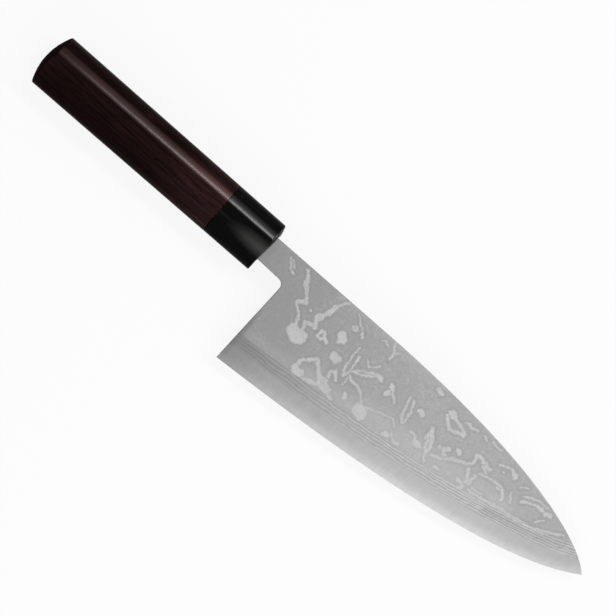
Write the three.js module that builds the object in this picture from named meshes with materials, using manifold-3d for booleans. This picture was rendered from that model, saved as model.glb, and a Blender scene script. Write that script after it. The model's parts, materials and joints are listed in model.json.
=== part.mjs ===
// Deba knife: a heavy single-bevel Japanese fish knife with a 180 mm edge, lying on its back face.
// It is put together as the real one is: a pattern-welded soft steel front with neck and tang, a hard
// steel back lamination that is bare along the edge, and a wooden handle with a horn ferrule, joined by
// a slotted dowel that grips the tang.
import * as THREE from 'three';
import { mergeVertices } from 'three/addons/utils/BufferGeometryUtils.js';
import Module from 'manifold-3d';

// Driving dimensions in millimetres. While building, x runs from the front of the ferrule to the tip,
// y towards the spine and z out of the bevelled front, with z = 0 on the flat rim of the back.

// Blade outline, seen from the front.
const TIP = [191.2, -16.6];
const SPINE_Y = 6.1;
const SPINE_BEND_X = 62.6;
const SPINE_HANDLES = [[151.0, SPINE_Y], [184.6, -8.8]];
const HEEL = [14.0, -49.0];
const EDGE_HANDLES = [[139.3, -41.5], [175.0, -27.1]];
const HEEL_LEAN = 0.025;
const NECK_LOW_Y = -6.3;
const NECK_FLARE = 0.03;
const CHOIL_RADIUS = 3.0;
const CHOIL_SEGMENTS = 8;

// Blade section: flat, bevel and hollow back.
const SPINE_THICKNESS = 7.0;
const DISTAL_TAPER = 0.027;
const FLAT_TAPER = 0.0245;
const BEVEL_WIDTH = 14.2;
const EDGE_STRIP_WIDTH = 4.0;
const EDGE_STRIP_RISE = 0.34;
const EDGE_LAND = 0.1;
const SPINE_SLIVER = 0.05;
const HOLLOW_DEPTH = 0.6;
const HOLLOW_STEPS = 6;
const HOLLOW_START_X = 17;
const HOLLOW_FULL_X = 32;
const HOLLOW_FADE_X = 145;
const HOLLOW_END_X = 174;
const EDGE_RIM = 3.0;
const SPINE_RIM = 3.5;
const NARROW_RIM_SHARE = 0.3;

// Where the sections of the blade lie: from each start, one every step, closer towards the tip.
const STATIONS = [{ start: 8, step: 6 }, { start: 80, step: 3 }, { start: 170, step: 1.5 }];
const LAST_STATION_TO_TIP = 1.0;

// Plane of the forge weld. It meets the bevel 8 mm from the edge along the whole blade.
const WELD_HEIGHT = 4.22;
const WELD_SLOPE_X = -0.0155;
const WELD_SLOPE_Y = 0.01;
const WELD_GAP = 0.06;
const CORE_BEHIND_HEEL = 1.0;

// Neck end and tang.
const NECK_IN_FERRULE = 2.5;
const TANG_LENGTH = 92;
const TANG_ROOT = [9.6, 4.6];
const TANG_END = [5.0, 2.4];

// Handle, with its chestnut section: an oval with a ridge along the front.
const HANDLE_LENGTH = 124.0;
const FERRULE_LENGTH = 25.4;
const BUTT_HEIGHT = 25.4;
const BUTT_THICKNESS = 21.0;
const MOUTH_HEIGHT = 24.3;
const MOUTH_THICKNESS = 19.8;
const SECTION_RIDGE = [0.32, 1.0];
const SECTION_SPINE_SIDE = [[1, 0.55], [0.78, 0.86]];
const SECTION_EDGE_SIDE = [[-0.35, 0.98], [-1, 0.62]];
const SECTION_POINTS = 12;
const BUTT_DOME = 3.1;
const BUTT_LEAN = 0.46;
const END_RINGS = [0.3, 0.55, 0.75, 0.9, 1];
const MOUTH_CROWN = 1.0;
const MOUTH_CROWN_BIAS = 1.5;
const MOUTH_SETBACK = 0.3;

// Inside of the handle.
const DOWEL_DIAMETER = 14.0;
const DOWEL_LENGTH = 50;
const DOWEL_SIDES = 32;
const FERRULE_WALL = 4.2;
const SEAL_THICKNESS = 0.5;
const SEAL_DEPTH = 2.0;
const FIT_GAP = 0.15;

// How far a cutting shape runs past what it cuts, the distance at which two points are one, and the share of
// a curve to which a point on it is found.
const CUT_REACH = 40;
const SAME_POINT = 1e-4;
const CURVE_SHARE = 1e-9;

const wasm = await Module();
wasm.setup();

// Closed skin over a list of rings, each a list of Vector3 running anticlockwise as seen from +x.
// An end closes on a point where one is given, and otherwise on a flat cap.
function loft(rings, startPoint, endPoint) {
  const count = rings[0].length;
  const points = rings.flat();
  const triangles = [];
  for (let ring = 0; ring + 1 < rings.length; ring += 1) {
    for (let j = 0; j < count; j += 1) {
      const a = ring * count + j;
      const b = ring * count + (j + 1) % count;
      triangles.push(a, b, a + count, b, b + count, a + count);
    }
  }
  const fanFaces = (point) => {
    points.push(point);
    return rings[0].map((_, j) => [j, (j + 1) % count, points.length - 1]);
  };
  const acrossX = (p) => new THREE.Vector2(p.y, p.z);
  const capFaces = (ring) => THREE.ShapeUtils.triangulateShape(ring.map(acrossX), []);
  const startFaces = startPoint ? fanFaces(startPoint) : capFaces(rings[0]);
  for (const [a, b, c] of startFaces) {
    triangles.push(b, a, c);
  }
  const lastRing = (rings.length - 1) * count;
  const onLastRing = (j) => (j < count ? lastRing + j : j);
  const endFaces = endPoint ? fanFaces(endPoint) : capFaces(rings.at(-1));
  triangles.push(...endFaces.flat().map(onLastRing));
  const geometry = new THREE.BufferGeometry().setFromPoints(points);
  geometry.setIndex(triangles);
  return geometry;
}

function solidOf(geometry) {
  const bare = geometry.clone();
  bare.deleteAttribute('normal');
  bare.deleteAttribute('uv');
  const merged = mergeVertices(bare, SAME_POINT);
  const vertProperties = new Float32Array(merged.attributes.position.array);
  const triVerts = new Uint32Array(merged.index.array);
  return new wasm.Manifold(new wasm.Mesh({ numProp: 3, vertProperties, triVerts }));
}

function meshOf(name, solid, look) {
  const { vertProperties, triVerts } = solid.getMesh();
  const geometry = new THREE.BufferGeometry();
  geometry.setAttribute('position', new THREE.BufferAttribute(new Float32Array(vertProperties), 3));
  geometry.setIndex([...triVerts]);
  geometry.computeVertexNormals();
  const mesh = new THREE.Mesh(geometry, new THREE.MeshStandardMaterial(look));
  mesh.name = name;
  return mesh;
}

// Moves every point of a geometry in z by its own rule.
function reshapeZ(geometry, rule) {
  const position = geometry.attributes.position;
  for (let i = 0; i < position.count; i += 1) {
    position.setZ(i, rule(position.getX(i), position.getY(i), position.getZ(i)));
  }
  return geometry;
}

// Upright rectangle across x, grown by a margin on every side.
function rectangle(x, middleZ, [height, thickness], margin = 0) {
  const y = height / 2 + margin;
  const z = thickness / 2 + margin;
  return [[-y, -z], [y, -z], [y, z], [-y, z]].map(([dy, dz]) => new THREE.Vector3(x, dy, middleZ + dz));
}

function dowelSolid(xFrom, xTo, diameter) {
  const geometry = new THREE.CylinderGeometry(diameter / 2, diameter / 2, xTo - xFrom, DOWEL_SIDES);
  geometry.rotateZ(Math.PI / 2);
  geometry.translate((xFrom + xTo) / 2, 0, MIDDLE_Z);
  return solidOf(geometry);
}

// Blade outline as heights over x.
const asVector = ([x, y]) => new THREE.Vector2(x, y);
const spineCurve = new THREE.CubicBezierCurve(
  new THREE.Vector2(SPINE_BEND_X, SPINE_Y), ...SPINE_HANDLES.map(asVector), asVector(TIP));
const edgeCurve = new THREE.CubicBezierCurve(asVector(HEEL), ...EDGE_HANDLES.map(asVector), asVector(TIP));

// Height of a curve at x, found by halving: x only grows along these curves.
function heightOn(curve, x) {
  let low = 0;
  let high = 1;
  while (high - low > CURVE_SHARE) {
    const middle = (low + high) / 2;
    if (curve.getPoint(middle).x < x) {
      low = middle;
    } else {
      high = middle;
    }
  }
  return curve.getPoint(low).y;
}

const spineY = (x) => (x <= SPINE_BEND_X ? SPINE_Y : heightOn(spineCurve, x));
const edgeY = (x) => (x <= HEEL[0] ? HEEL[1] : heightOn(edgeCurve, x));
const heelX = (y) => HEEL[0] + HEEL_LEAN * (y - HEEL[1]);
const neckLowY = (x) => NECK_LOW_Y - NECK_FLARE * x;

// Height of the plane front of the blade: it falls towards the tip and towards the edge.
const flatZ = (x, y) => SPINE_THICKNESS - DISTAL_TAPER * (x - HEEL[0]) + FLAT_TAPER * (y - SPINE_Y);
const weldZ = (x, y) => WELD_HEIGHT + WELD_SLOPE_X * x + WELD_SLOPE_Y * y;
const MIDDLE_Z = flatZ(0, 0) / 2;

// How deep the hollow of the back is at x, as a share of its full depth.
function hollowShare(x) {
  const rise = THREE.MathUtils.smoothstep(x, HOLLOW_START_X, HOLLOW_FULL_X);
  const fade = THREE.MathUtils.smoothstep(x, HOLLOW_FADE_X, HOLLOW_END_X);
  return rise * (1 - fade);
}

// Section of the ground blade at x: back rim, hollow, rim, spine, flat, bevel and edge.
function bladeRing(x) {
  const low = edgeY(x);
  const high = spineY(x);
  const height = high - low;
  const rimLow = low + Math.min(EDGE_RIM, height * NARROW_RIM_SHARE);
  const rimHigh = high - Math.min(SPINE_RIM, height * NARROW_RIM_SHARE);
  const ring = [[low, 0]];
  for (let step = 0; step <= HOLLOW_STEPS; step += 1) {
    const along = step / HOLLOW_STEPS;
    const dip = 4 * along * (1 - along) * HOLLOW_DEPTH * hollowShare(x);
    ring.push([rimLow + along * (rimHigh - rimLow), dip]);
  }
  // Where the blade is narrower than its bevel, the spine lies on the bevel itself.
  const ridge = Math.min(low + BEVEL_WIDTH, high - SPINE_SLIVER);
  const bevelZ = flatZ(x, low + BEVEL_WIDTH);
  const strip = Math.min(EDGE_STRIP_WIDTH, height / 2);
  const stripZ = bevelZ * EDGE_STRIP_RISE * (strip / EDGE_STRIP_WIDTH);
  const bevelAt = (y) => stripZ + (bevelZ - stripZ) * (y - low - strip) / (BEVEL_WIDTH - strip);
  const spineTop = height > BEVEL_WIDTH ? flatZ(x, high) : bevelAt(high);
  ring.push([high, 0], [high, spineTop], [ridge, bevelAt(ridge)], [low + strip, stripZ], [low, EDGE_LAND]);
  return ring.map(([y, z]) => new THREE.Vector3(x, y, z));
}

// The first section of the blade is inside the ferrule: the choil is cut out of it later.
function bladeStations() {
  const stations = [-NECK_IN_FERRULE];
  STATIONS.forEach(({ start, step }, i) => {
    const end = STATIONS[i + 1]?.start ?? TIP[0] - LAST_STATION_TO_TIP;
    for (let x = start; x < end; x += step) {
      stations.push(x);
    }
  });
  return stations;
}

// What is cut away behind the heel: below the neck, with a round inner corner.
function choilCutter() {
  const low = HEEL[1] - CUT_REACH;
  const back = -NECK_IN_FERRULE - CUT_REACH;
  const arcX = (heelX(NECK_LOW_Y - CHOIL_RADIUS) - CHOIL_RADIUS) / (1 + HEEL_LEAN * NECK_FLARE);
  const arcY = neckLowY(arcX) - CHOIL_RADIUS;
  const shape = new THREE.Shape();
  shape.moveTo(back, low);
  shape.lineTo(heelX(low), low);
  shape.lineTo(heelX(arcY), arcY);
  shape.absarc(arcX, arcY, CHOIL_RADIUS, 0, Math.PI / 2, false);
  shape.lineTo(back, neckLowY(back));
  const extrusion = { depth: 2 * CUT_REACH, bevelEnabled: false, curveSegments: CHOIL_SEGMENTS };
  const cutter = new THREE.ExtrudeGeometry(shape, extrusion);
  return solidOf(cutter.translate(0, 0, -CUT_REACH));
}

// Space of the hard steel: under the weld plane, and in front of a line just behind the heel, grown by half
// the gap of the weld for the soft steel and shrunk by it for the hard steel.
function coreSpace(grow) {
  const low = HEEL[1] - CUT_REACH;
  const high = SPINE_Y + CUT_REACH;
  const front = TIP[0] + CUT_REACH;
  const behind = (y) => heelX(y) - CORE_BEHIND_HEEL - grow;
  const shape = new THREE.Shape();
  shape.moveTo(behind(low), low);
  shape.lineTo(front, low);
  shape.lineTo(front, high);
  shape.lineTo(behind(high), high);
  const space = new THREE.ExtrudeGeometry(shape, { depth: 1, bevelEnabled: false });
  return solidOf(reshapeZ(space, (x, y, z) => (z > 0 ? weldZ(x, y) + grow : -CUT_REACH)));
}

// The tang tapers to its end. A margin grows it into the slot that holds it.
function tangSolid(xEnd, xRoot, margin = 0) {
  const sizeAt = (x) => TANG_ROOT.map((size, i) => THREE.MathUtils.lerp(size, TANG_END[i], -x / TANG_LENGTH));
  const ringAt = (x) => rectangle(x, MIDDLE_Z, sizeAt(x), margin);
  return solidOf(loft([ringAt(xEnd), ringAt(xRoot)]));
}

// Blade before the weld plane divides it into its two steels.
function bladeBlank() {
  const tipPoint = new THREE.Vector3(...TIP, 0);
  const ground = solidOf(loft(bladeStations().map(bladeRing), undefined, tipPoint));
  return ground.subtract(choilCutter());
}

// The tang's root lies inside the neck, so that the two are one piece.
function bladeCladding() {
  const front = bladeBlank().subtract(coreSpace(WELD_GAP / 2));
  return front.add(tangSolid(-TANG_LENGTH, NECK_IN_FERRULE));
}

function bladeCore() {
  return bladeBlank().intersect(coreSpace(-WELD_GAP / 2));
}

// Chestnut section in unit size: y from -1 at the edge side to 1 at the spine side, z from -1 to the ridge.
function chestnutSection() {
  const shape = new THREE.Shape();
  shape.moveTo(-1, 0);
  shape.absarc(0, 0, 1, Math.PI, 2 * Math.PI, false);
  shape.bezierCurveTo(...SECTION_SPINE_SIDE.flat(), ...SECTION_RIDGE);
  shape.bezierCurveTo(...SECTION_EDGE_SIDE.flat(), -1, 0);
  const points = shape.getPoints(SECTION_POINTS);
  return points.filter((p, i) => p.distanceTo(points[(i + 1) % points.length]) > SAME_POINT);
}

const section = chestnutSection();

// Ring of the handle. share shrinks it for the domed ends, and offset moves each of its points along x by
// a rule over unit y and z.
function handleRing(x, share = 1, offset = () => 0) {
  const along = -x / HANDLE_LENGTH;
  const halfHeight = THREE.MathUtils.lerp(MOUTH_HEIGHT, BUTT_HEIGHT, along) / 2;
  const halfThickness = THREE.MathUtils.lerp(MOUTH_THICKNESS, BUTT_THICKNESS, along) / 2;
  return section.map((p) => {
    const unitY = p.x * share;
    const unitZ = p.y * share;
    return new THREE.Vector3(x + offset(unitY, unitZ), unitY * halfHeight, MIDDLE_Z + unitZ * halfThickness);
  });
}

function handleBody() {
  const front = -FERRULE_LENGTH - FIT_GAP;
  const dome = (y, z) => BUTT_DOME * (y * y + z * z) + BUTT_LEAN * y;
  const butt = END_RINGS.map((share) => handleRing(-HANDLE_LENGTH, share, dome));
  const apex = new THREE.Vector3(-HANDLE_LENGTH, 0, MIDDLE_Z);
  const body = solidOf(loft([...butt, handleRing(front)], apex));
  const boreEnd = -FERRULE_WALL - DOWEL_LENGTH - 2 * FIT_GAP;
  const bore = dowelSolid(boreEnd, 0, DOWEL_DIAMETER + 2 * FIT_GAP);
  return body.subtract(bore).subtract(tangSolid(-TANG_LENGTH - FIT_GAP, 0, FIT_GAP));
}

// The mouth rounds off towards the rim, and stands out most on the spine side.
function ferrule() {
  const crown = (y, z) => MOUTH_CROWN * (1 - y * y - z * z) * (1 + MOUTH_CROWN_BIAS * y);
  const face = END_RINGS.toReversed().map((share) => handleRing(-MOUTH_SETBACK, share, crown));
  const apex = new THREE.Vector3(-MOUTH_SETBACK + MOUTH_CROWN, 0, MIDDLE_Z);
  const body = solidOf(loft([handleRing(-FERRULE_LENGTH), ...face], undefined, apex));
  const bore = dowelSolid(-FERRULE_LENGTH - CUT_REACH, -FERRULE_WALL, DOWEL_DIAMETER + 2 * FIT_GAP);
  const neckHole = neckPrism(-FERRULE_WALL - FIT_GAP, CUT_REACH, SEAL_THICKNESS + 2 * FIT_GAP);
  return body.subtract(bore).subtract(neckHole);
}

// The neck's section where it enters the ferrule, carried straight along x and grown by a margin.
function neckPrism(xFrom, xTo, margin) {
  const low = neckLowY(0) - margin;
  const high = SPINE_Y + margin;
  const bottom = -margin;
  const top = flatZ(-NECK_IN_FERRULE, SPINE_Y) + margin;
  const ring = (x) => [[low, bottom], [high, bottom], [high, top], [low, top]]
    .map(([y, z]) => new THREE.Vector3(x, y, z));
  return solidOf(loft([ring(xFrom), ring(xTo)]));
}

function tangSeal() {
  const outer = neckPrism(-MOUTH_SETBACK - SEAL_DEPTH, -MOUTH_SETBACK, SEAL_THICKNESS + FIT_GAP);
  return outer.subtract(neckPrism(-CUT_REACH, CUT_REACH, FIT_GAP));
}

function tangDowel() {
  const front = -FERRULE_WALL - FIT_GAP;
  const dowel = dowelSolid(front - DOWEL_LENGTH, front, DOWEL_DIAMETER);
  return dowel.subtract(tangSolid(-TANG_LENGTH, 0, FIT_GAP));
}

const knife = new THREE.Group();
knife.add(
  meshOf('blade_cladding', bladeCladding(), { color: 0xa6a6a6, roughness: 0.38, metalness: 0.9 }),
  meshOf('blade_core', bladeCore(), { color: 0xbcbcbc, roughness: 0.28, metalness: 0.95 }),
  meshOf('ferrule', ferrule(), { color: 0x121212, roughness: 0.3, metalness: 0 }),
  meshOf('handle_body', handleBody(), { color: 0x2a1614, roughness: 0.45, metalness: 0 }),
  meshOf('tang_dowel', tangDowel(), { color: 0xd9c69a, roughness: 0.7, metalness: 0 }),
  meshOf('tang_seal', tangSeal(), { color: 0x17110d, roughness: 0.5, metalness: 0 }),
);

// The origin is the middle of the knife's footprint, on the plane of its lowest point.
const box = new THREE.Box3().setFromObject(knife);
const middle = box.getCenter(new THREE.Vector3());
knife.position.set(-middle.x, -middle.y, -box.min.z);

export default knife;
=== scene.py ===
# %% [markdown]
# # Dressing a deba knife
# A deba is a heavy Japanese fish knife, ground on one side only. The frame holds it as six solids at their
# real size: two steels, a horn ferrule, a wooden handle, and the dowel and the resin that hold the tang.
# This lesson gives each solid softened edges and a finish, then lights it as for a catalogue picture.
# %% Load the frame
import json
import math

import bmesh
import bpy
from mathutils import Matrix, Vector


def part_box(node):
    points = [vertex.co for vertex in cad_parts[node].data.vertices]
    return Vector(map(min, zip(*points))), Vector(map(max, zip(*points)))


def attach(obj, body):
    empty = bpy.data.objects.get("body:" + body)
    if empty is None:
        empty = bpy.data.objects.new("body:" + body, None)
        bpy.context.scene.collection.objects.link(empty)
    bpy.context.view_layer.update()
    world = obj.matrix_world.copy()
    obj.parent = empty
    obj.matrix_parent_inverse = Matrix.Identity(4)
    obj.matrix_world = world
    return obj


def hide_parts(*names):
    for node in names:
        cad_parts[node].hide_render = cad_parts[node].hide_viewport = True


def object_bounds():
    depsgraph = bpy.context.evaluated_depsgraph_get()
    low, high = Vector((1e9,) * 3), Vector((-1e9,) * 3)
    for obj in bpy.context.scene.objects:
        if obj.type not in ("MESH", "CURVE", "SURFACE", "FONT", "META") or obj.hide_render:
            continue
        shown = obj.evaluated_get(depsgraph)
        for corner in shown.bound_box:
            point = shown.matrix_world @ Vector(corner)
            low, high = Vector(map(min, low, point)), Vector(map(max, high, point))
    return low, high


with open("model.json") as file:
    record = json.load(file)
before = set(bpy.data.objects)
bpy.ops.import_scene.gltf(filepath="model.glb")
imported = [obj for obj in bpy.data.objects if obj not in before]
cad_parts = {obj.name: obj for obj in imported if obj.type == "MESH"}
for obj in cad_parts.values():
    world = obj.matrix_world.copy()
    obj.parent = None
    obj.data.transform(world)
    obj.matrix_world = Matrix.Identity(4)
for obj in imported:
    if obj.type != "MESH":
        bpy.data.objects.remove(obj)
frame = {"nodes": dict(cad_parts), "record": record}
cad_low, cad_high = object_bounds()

MM = 0.001
print("solids:", ", ".join(sorted(frame["nodes"])))

# %% [markdown]
# ## Where things are
# Places on the blade are easiest to give from the heel, the corner where the edge begins: so many
# millimetres towards the tip and so many up towards the spine. The record's two flat mounts say where the
# blade's flat front and the rim of its back lie, and the ferrule's box says where the neck comes out.
# %% Landmarks from the frame
MOUNTS = {mount["name"]: mount for mount in frame["record"]["mounts"]}
HEEL = Vector(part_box("blade_core")[0])
TIP_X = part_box("blade_core")[1][0]
FERRULE_FRONT_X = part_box("ferrule")[1][0]
FRONT_POINT = Vector(MOUNTS["front_flat"]["pos_m"])
FRONT_AXIS = Vector(MOUNTS["front_flat"]["axis"])
BACK_Z = MOUNTS["back_rim"]["pos_m"][2]
print(f"heel at {HEEL.x / MM:.1f}, {HEEL.y / MM:.1f} mm; back rim {BACK_Z / MM:.2f} mm above the floor")

# %% [markdown]
# ## Camera
# The picture looks straight down on the knife lying on its back, turned so that the tip points to the lower
# right. A long lens from two metres keeps the sides parallel, as in a copy-stand picture.
# %% Camera
CAMERA_DISTANCE = 2.0
SENSOR_MM = 36.0
PICTURE_WIDTH = 260.26 * MM
PICTURE_TURN = math.radians(41.17)
PICTURE_CENTRE = Vector((15.57, 41.18)) * MM

camera = bpy.data.objects.new("camera", bpy.data.cameras.new("camera"))
camera.data.sensor_width = SENSOR_MM
camera.data.lens = SENSOR_MM * CAMERA_DISTANCE / PICTURE_WIDTH
aim = Vector((HEEL.x + PICTURE_CENTRE.x, HEEL.y + PICTURE_CENTRE.y, FRONT_POINT.z))
camera.location = aim + Vector((0, 0, CAMERA_DISTANCE))
camera.rotation_euler = (0, 0, PICTURE_TURN)
bpy.context.scene.collection.objects.link(camera)
bpy.context.scene.camera = camera
bpy.context.scene.view_settings.view_transform = "Standard"
print(f"camera: {camera.data.lens:.0f} mm lens")

# %% [markdown]
# ## Building shader trees in code
# A finish is a tree of nodes. These helpers add a node and feed its inputs in order, each from another
# node's socket or as a plain number, so that a recipe reads from top to bottom.
# %% Node helpers
def feed(tree, socket, value):
    """Links a socket, or sets its value."""
    if isinstance(value, bpy.types.NodeSocket):
        tree.links.new(value, socket)
    else:
        socket.default_value = value


def add(tree, kind, *values, **settings):
    """A new node with its settings made and its first inputs fed."""
    made = tree.nodes.new("ShaderNode" + kind)
    for name, value in settings.items():
        setattr(made, name, value)
    for socket, value in zip(made.inputs, values):
        feed(tree, socket, value)
    return made


def calc(tree, operation, *values):
    return add(tree, "Math", *values, operation=operation).outputs[0]


def times(tree, first, second):
    return calc(tree, "MULTIPLY", first, second)


def ramp(tree, value, start, end, low=0.0, high=1.0):
    """Goes smoothly from low to high as the value goes from start to end."""
    return add(tree, "MapRange", value, start, end, low, high, interpolation_type="SMOOTHSTEP").outputs[0]


def vector(tree, operation, *values):
    return add(tree, "VectorMath", *values, operation=operation).outputs["Vector"]


def measure(tree, operation, *values):
    """A number from vectors, such as a length or a distance."""
    return add(tree, "VectorMath", *values, operation=operation).outputs["Value"]


def axis(tree, place, letter):
    return add(tree, "SeparateXYZ", place).outputs[letter]


print("helpers: nodes, numbers and vectors")


# %% Helpers for colours and noise
def grey(level):
    return (level, level, level, 1.0)


def blend(tree, share, first, second):
    """Mixes two colours."""
    made = add(tree, "Mix", data_type="RGBA")
    for socket, value in zip((made.inputs[0], made.inputs[6], made.inputs[7]), (share, first, second)):
        feed(tree, socket, value)
    return made.outputs[2]


def dim(tree, colour, share):
    """Multiplies a colour by a number."""
    shares = add(tree, "CombineXYZ", share, share, share).outputs[0]
    return vector(tree, "MULTIPLY", colour, shares)


def noise(tree, place, scale, detail=2.0, roughness=0.5):
    fourth_axis = 0.0
    return add(tree, "TexNoise", place, fourth_axis, scale, detail, roughness).outputs


def streaks(tree, place, scales, detail=2.0, roughness=0.5):
    """A noise that is drawn out, with a scale of its own along each axis."""
    return noise(tree, vector(tree, "MULTIPLY", place, scales), 1.0, detail, roughness)


print("helpers: colours and noise")


# %% Helpers for groups and finishes
def new_group(name, inputs, outputs):
    """An empty node group, with the sockets that values come in by and go out by."""
    tree = bpy.data.node_groups.new(name, "ShaderNodeTree")
    for label, kind in inputs:
        tree.interface.new_socket(label, in_out="INPUT", socket_type="NodeSocket" + kind)
    for label, kind in outputs:
        tree.interface.new_socket(label, in_out="OUTPUT", socket_type="NodeSocket" + kind)
    return tree, tree.nodes.new("NodeGroupInput").outputs, tree.nodes.new("NodeGroupOutput").inputs


def use_group(tree, group, *values):
    made = add(tree, "Group", node_tree=group)
    for socket, value in zip(made.inputs, values):
        feed(tree, socket, value)
    return made.outputs


def new_finish(name):
    """A new material; returns it with its tree and its shader's inputs."""
    made = bpy.data.materials.new(name)
    made.use_nodes = True
    return made, made.node_tree, made.node_tree.nodes["Principled BSDF"].inputs


def relief(tree, height, strength, depth_mm):
    """A normal that leans with a height."""
    made = add(tree, "Bump", strength, depth_mm * MM)
    feed(tree, made.inputs["Height"], height)
    return made.outputs[0]


def finished(made):
    """Says how large a finish has grown and passes it on."""
    print(f"{made.name}: {len(made.node_tree.nodes)} nodes")
    return made


print("helpers: groups and finishes")

# %% [markdown]
# ## Floor
# A sheet of matt white card, just under the knife, takes its soft shadow. For the eye and for reflections
# a share of it glows at a strength of exactly white, as card lit from behind does, so that the background
# comes out white without more light on the knife.
# %% Floor
FLOOR_HALF_WIDTH = 4.0
FLOOR_GAP = 0.05 * MM
CARD_WHITE = grey(0.93)
GLOWING_SHARE = 0.88


def white_card():
    made, tree, shader = new_finish("white_card")
    feed(tree, shader["Base Color"], CARD_WHITE)
    feed(tree, shader["Roughness"], 1.0)
    feed(tree, shader["Specular IOR Level"], 0.0)
    path = add(tree, "LightPath").outputs
    seen = calc(tree, "MAXIMUM", path["Is Camera Ray"], path["Is Glossy Ray"])
    seen = calc(tree, "MAXIMUM", seen, path["Is Transmission Ray"])
    matt = tree.nodes["Principled BSDF"].outputs[0]
    glow = add(tree, "Emission").outputs[0]
    both = add(tree, "MixShader", times(tree, seen, GLOWING_SHARE), matt, glow)
    feed(tree, tree.nodes["Material Output"].inputs["Surface"], both.outputs[0])
    return finished(made)


floor_mesh = bpy.data.meshes.new("floor")
bm = bmesh.new()
bmesh.ops.create_grid(bm, x_segments=1, y_segments=1, size=FLOOR_HALF_WIDTH)
bmesh.ops.translate(bm, verts=bm.verts, vec=(0, 0, cad_low[2] - FLOOR_GAP))
bm.to_mesh(floor_mesh)
bm.free()
floor_mesh.materials.append(white_card())
floor = bpy.data.objects.new("floor", floor_mesh)
bpy.context.scene.collection.objects.link(floor)
print("floor:", len(floor_mesh.polygons), "face")

# %% [markdown]
# ## Light
# Steel shows what it reflects, so the light is laid out for the reflections. A plain grey room all round is
# the base. A wide softbox on the edge's side stands where the bevel, which leans that way, reflects it. It
# starts over the heel and runs on past the tip, so that the bevel grows lighter towards the tip and the
# handle stays dark. A narrow strip on the spine's side draws the bright line along the handle's ridge, and
# because it starts over the handle, the line fades towards the butt.
# %% Room
ROOM_LIGHT = 0.4

room = bpy.data.worlds.new("grey_room")
room.use_nodes = True
room.node_tree.nodes["Background"].inputs["Color"].default_value = grey(1.0)
room.node_tree.nodes["Background"].inputs["Strength"].default_value = ROOM_LIGHT
bpy.context.scene.world = room
print("room light:", ROOM_LIGHT)


# %% Softboxes
def softbox(name, lean, distance, length, depth, brightness, along):
    """An area lamp, so far along the knife, that leans off the vertical to the spine (+) or the edge (-)."""
    lean = math.radians(lean)
    lamp = bpy.data.lights.new(name, "AREA")
    lamp.shape = "RECTANGLE"
    lamp.size = length
    lamp.size_y = depth
    lamp.energy = brightness * math.pi * length * depth
    box = bpy.data.objects.new(name, lamp)
    box.location = aim + distance * Vector((0, math.sin(lean), math.cos(lean))) + Vector((along, 0, 0))
    box.rotation_euler = (-lean, 0, 0)
    bpy.context.scene.collection.objects.link(box)
    print(f"{name}: {lamp.energy:.2f} W")


softbox("bevel_softbox", lean=-43, distance=1.0, length=1.2, depth=0.8, brightness=1.6, along=0.62)
softbox("ridge_strip", lean=33, distance=1.2, length=1.4, depth=0.12, brightness=14.0, along=0.54)

# %% [markdown]
# ## Copying a solid
# Each solid's shape is already right, so a piece starts as a copy of it. The copy's loose triangles are
# merged, and triangles that lie in one plane become one face again, so that an edge of the mesh is an edge
# of the knife and can be eased. Nothing made by hand has a perfectly sharp corner: the spine is eased so
# that it doesn't bite the hand, and a narrow rounded edge is what catches the light.
# %% Copy, ease and finish
SAME_POINT = 0.002 * MM
FLAT_ENOUGH = math.radians(0.15)
SHARP_FROM = math.radians(35)


def merged_copy(node_name):
    """A solid's mesh with its loose triangles joined and its flat faces whole again."""
    bm = bmesh.new()
    bm.from_mesh(frame["nodes"][node_name].data)
    bmesh.ops.remove_doubles(bm, verts=bm.verts, dist=SAME_POINT)
    bmesh.ops.dissolve_limit(bm, angle_limit=FLAT_ENOUGH, verts=bm.verts, edges=bm.edges)
    bm.normal_update()
    return bm


def edges_between(bm, one, other):
    """The edges with a face of one kind on one side and a face of the other kind on the other."""
    found = []
    for edge in bm.edges:
        if len(edge.link_faces) != 2:
            continue
        first, second = edge.link_faces
        if (one(first) and other(second)) or (one(second) and other(first)):
            found.append(edge)
    return found


def ease(bm, what, edges, width_mm, segments=3):
    """Rounds the edges off and prints how many faces that made."""
    made = bmesh.ops.bevel(bm, geom=edges, offset=width_mm * MM, offset_type="OFFSET", affect="EDGES",
                           segments=segments, profile=0.5, material=-1, clamp_overlap=False)
    bm.normal_update()
    print(f"{what}: {len(edges)} edges, {len(made['faces'])} faces")


def finish_piece(bm, name, node_name, material, crisp=None):
    """Turns a bmesh into a piece that stands for a solid, rides on the knife and carries a finish."""
    for face in bm.faces:
        face.smooth = True
    for edge in bm.edges:
        kept_crisp = crisp is not None and any(crisp(face) for face in edge.link_faces)
        edge.smooth = edge.calc_face_angle(math.pi) < SHARP_FROM and not kept_crisp
    mesh = bpy.data.meshes.new(name)
    bm.to_mesh(mesh)
    bm.free()
    mesh.materials.append(material)
    piece = bpy.data.objects.new(name, mesh)
    bpy.context.scene.collection.objects.link(piece)
    shading = piece.modifiers.new("even_shading", "WEIGHTED_NORMAL")
    shading.keep_sharp = True
    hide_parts(node_name)
    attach(piece, "root")
    print(f"{name}: {len(mesh.polygons)} faces")


print(f"edges look sharp from {math.degrees(SHARP_FROM):.0f} degrees")

# %% [markdown]
# ## Where a point is on the blade
# Both steels need to know how far a point is from the heel, how deep it lies under the flat front and how
# high it stands above the back. Depth is what a forged blade is made of: its layers lie flat, so the
# grinding of the bevel cuts down through one layer after another. The share of the height in both says how
# far up the bevel a point lies, from 0 at the edge to 1 at the ridge. The distance from the heel is given
# flat, for drawing on the face, and in space, for textures that go round on to the spine.
# %% Group: place on the blade
PER_MM = 1 / MM
TO_MM = (PER_MM, PER_MM, PER_MM)

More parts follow.
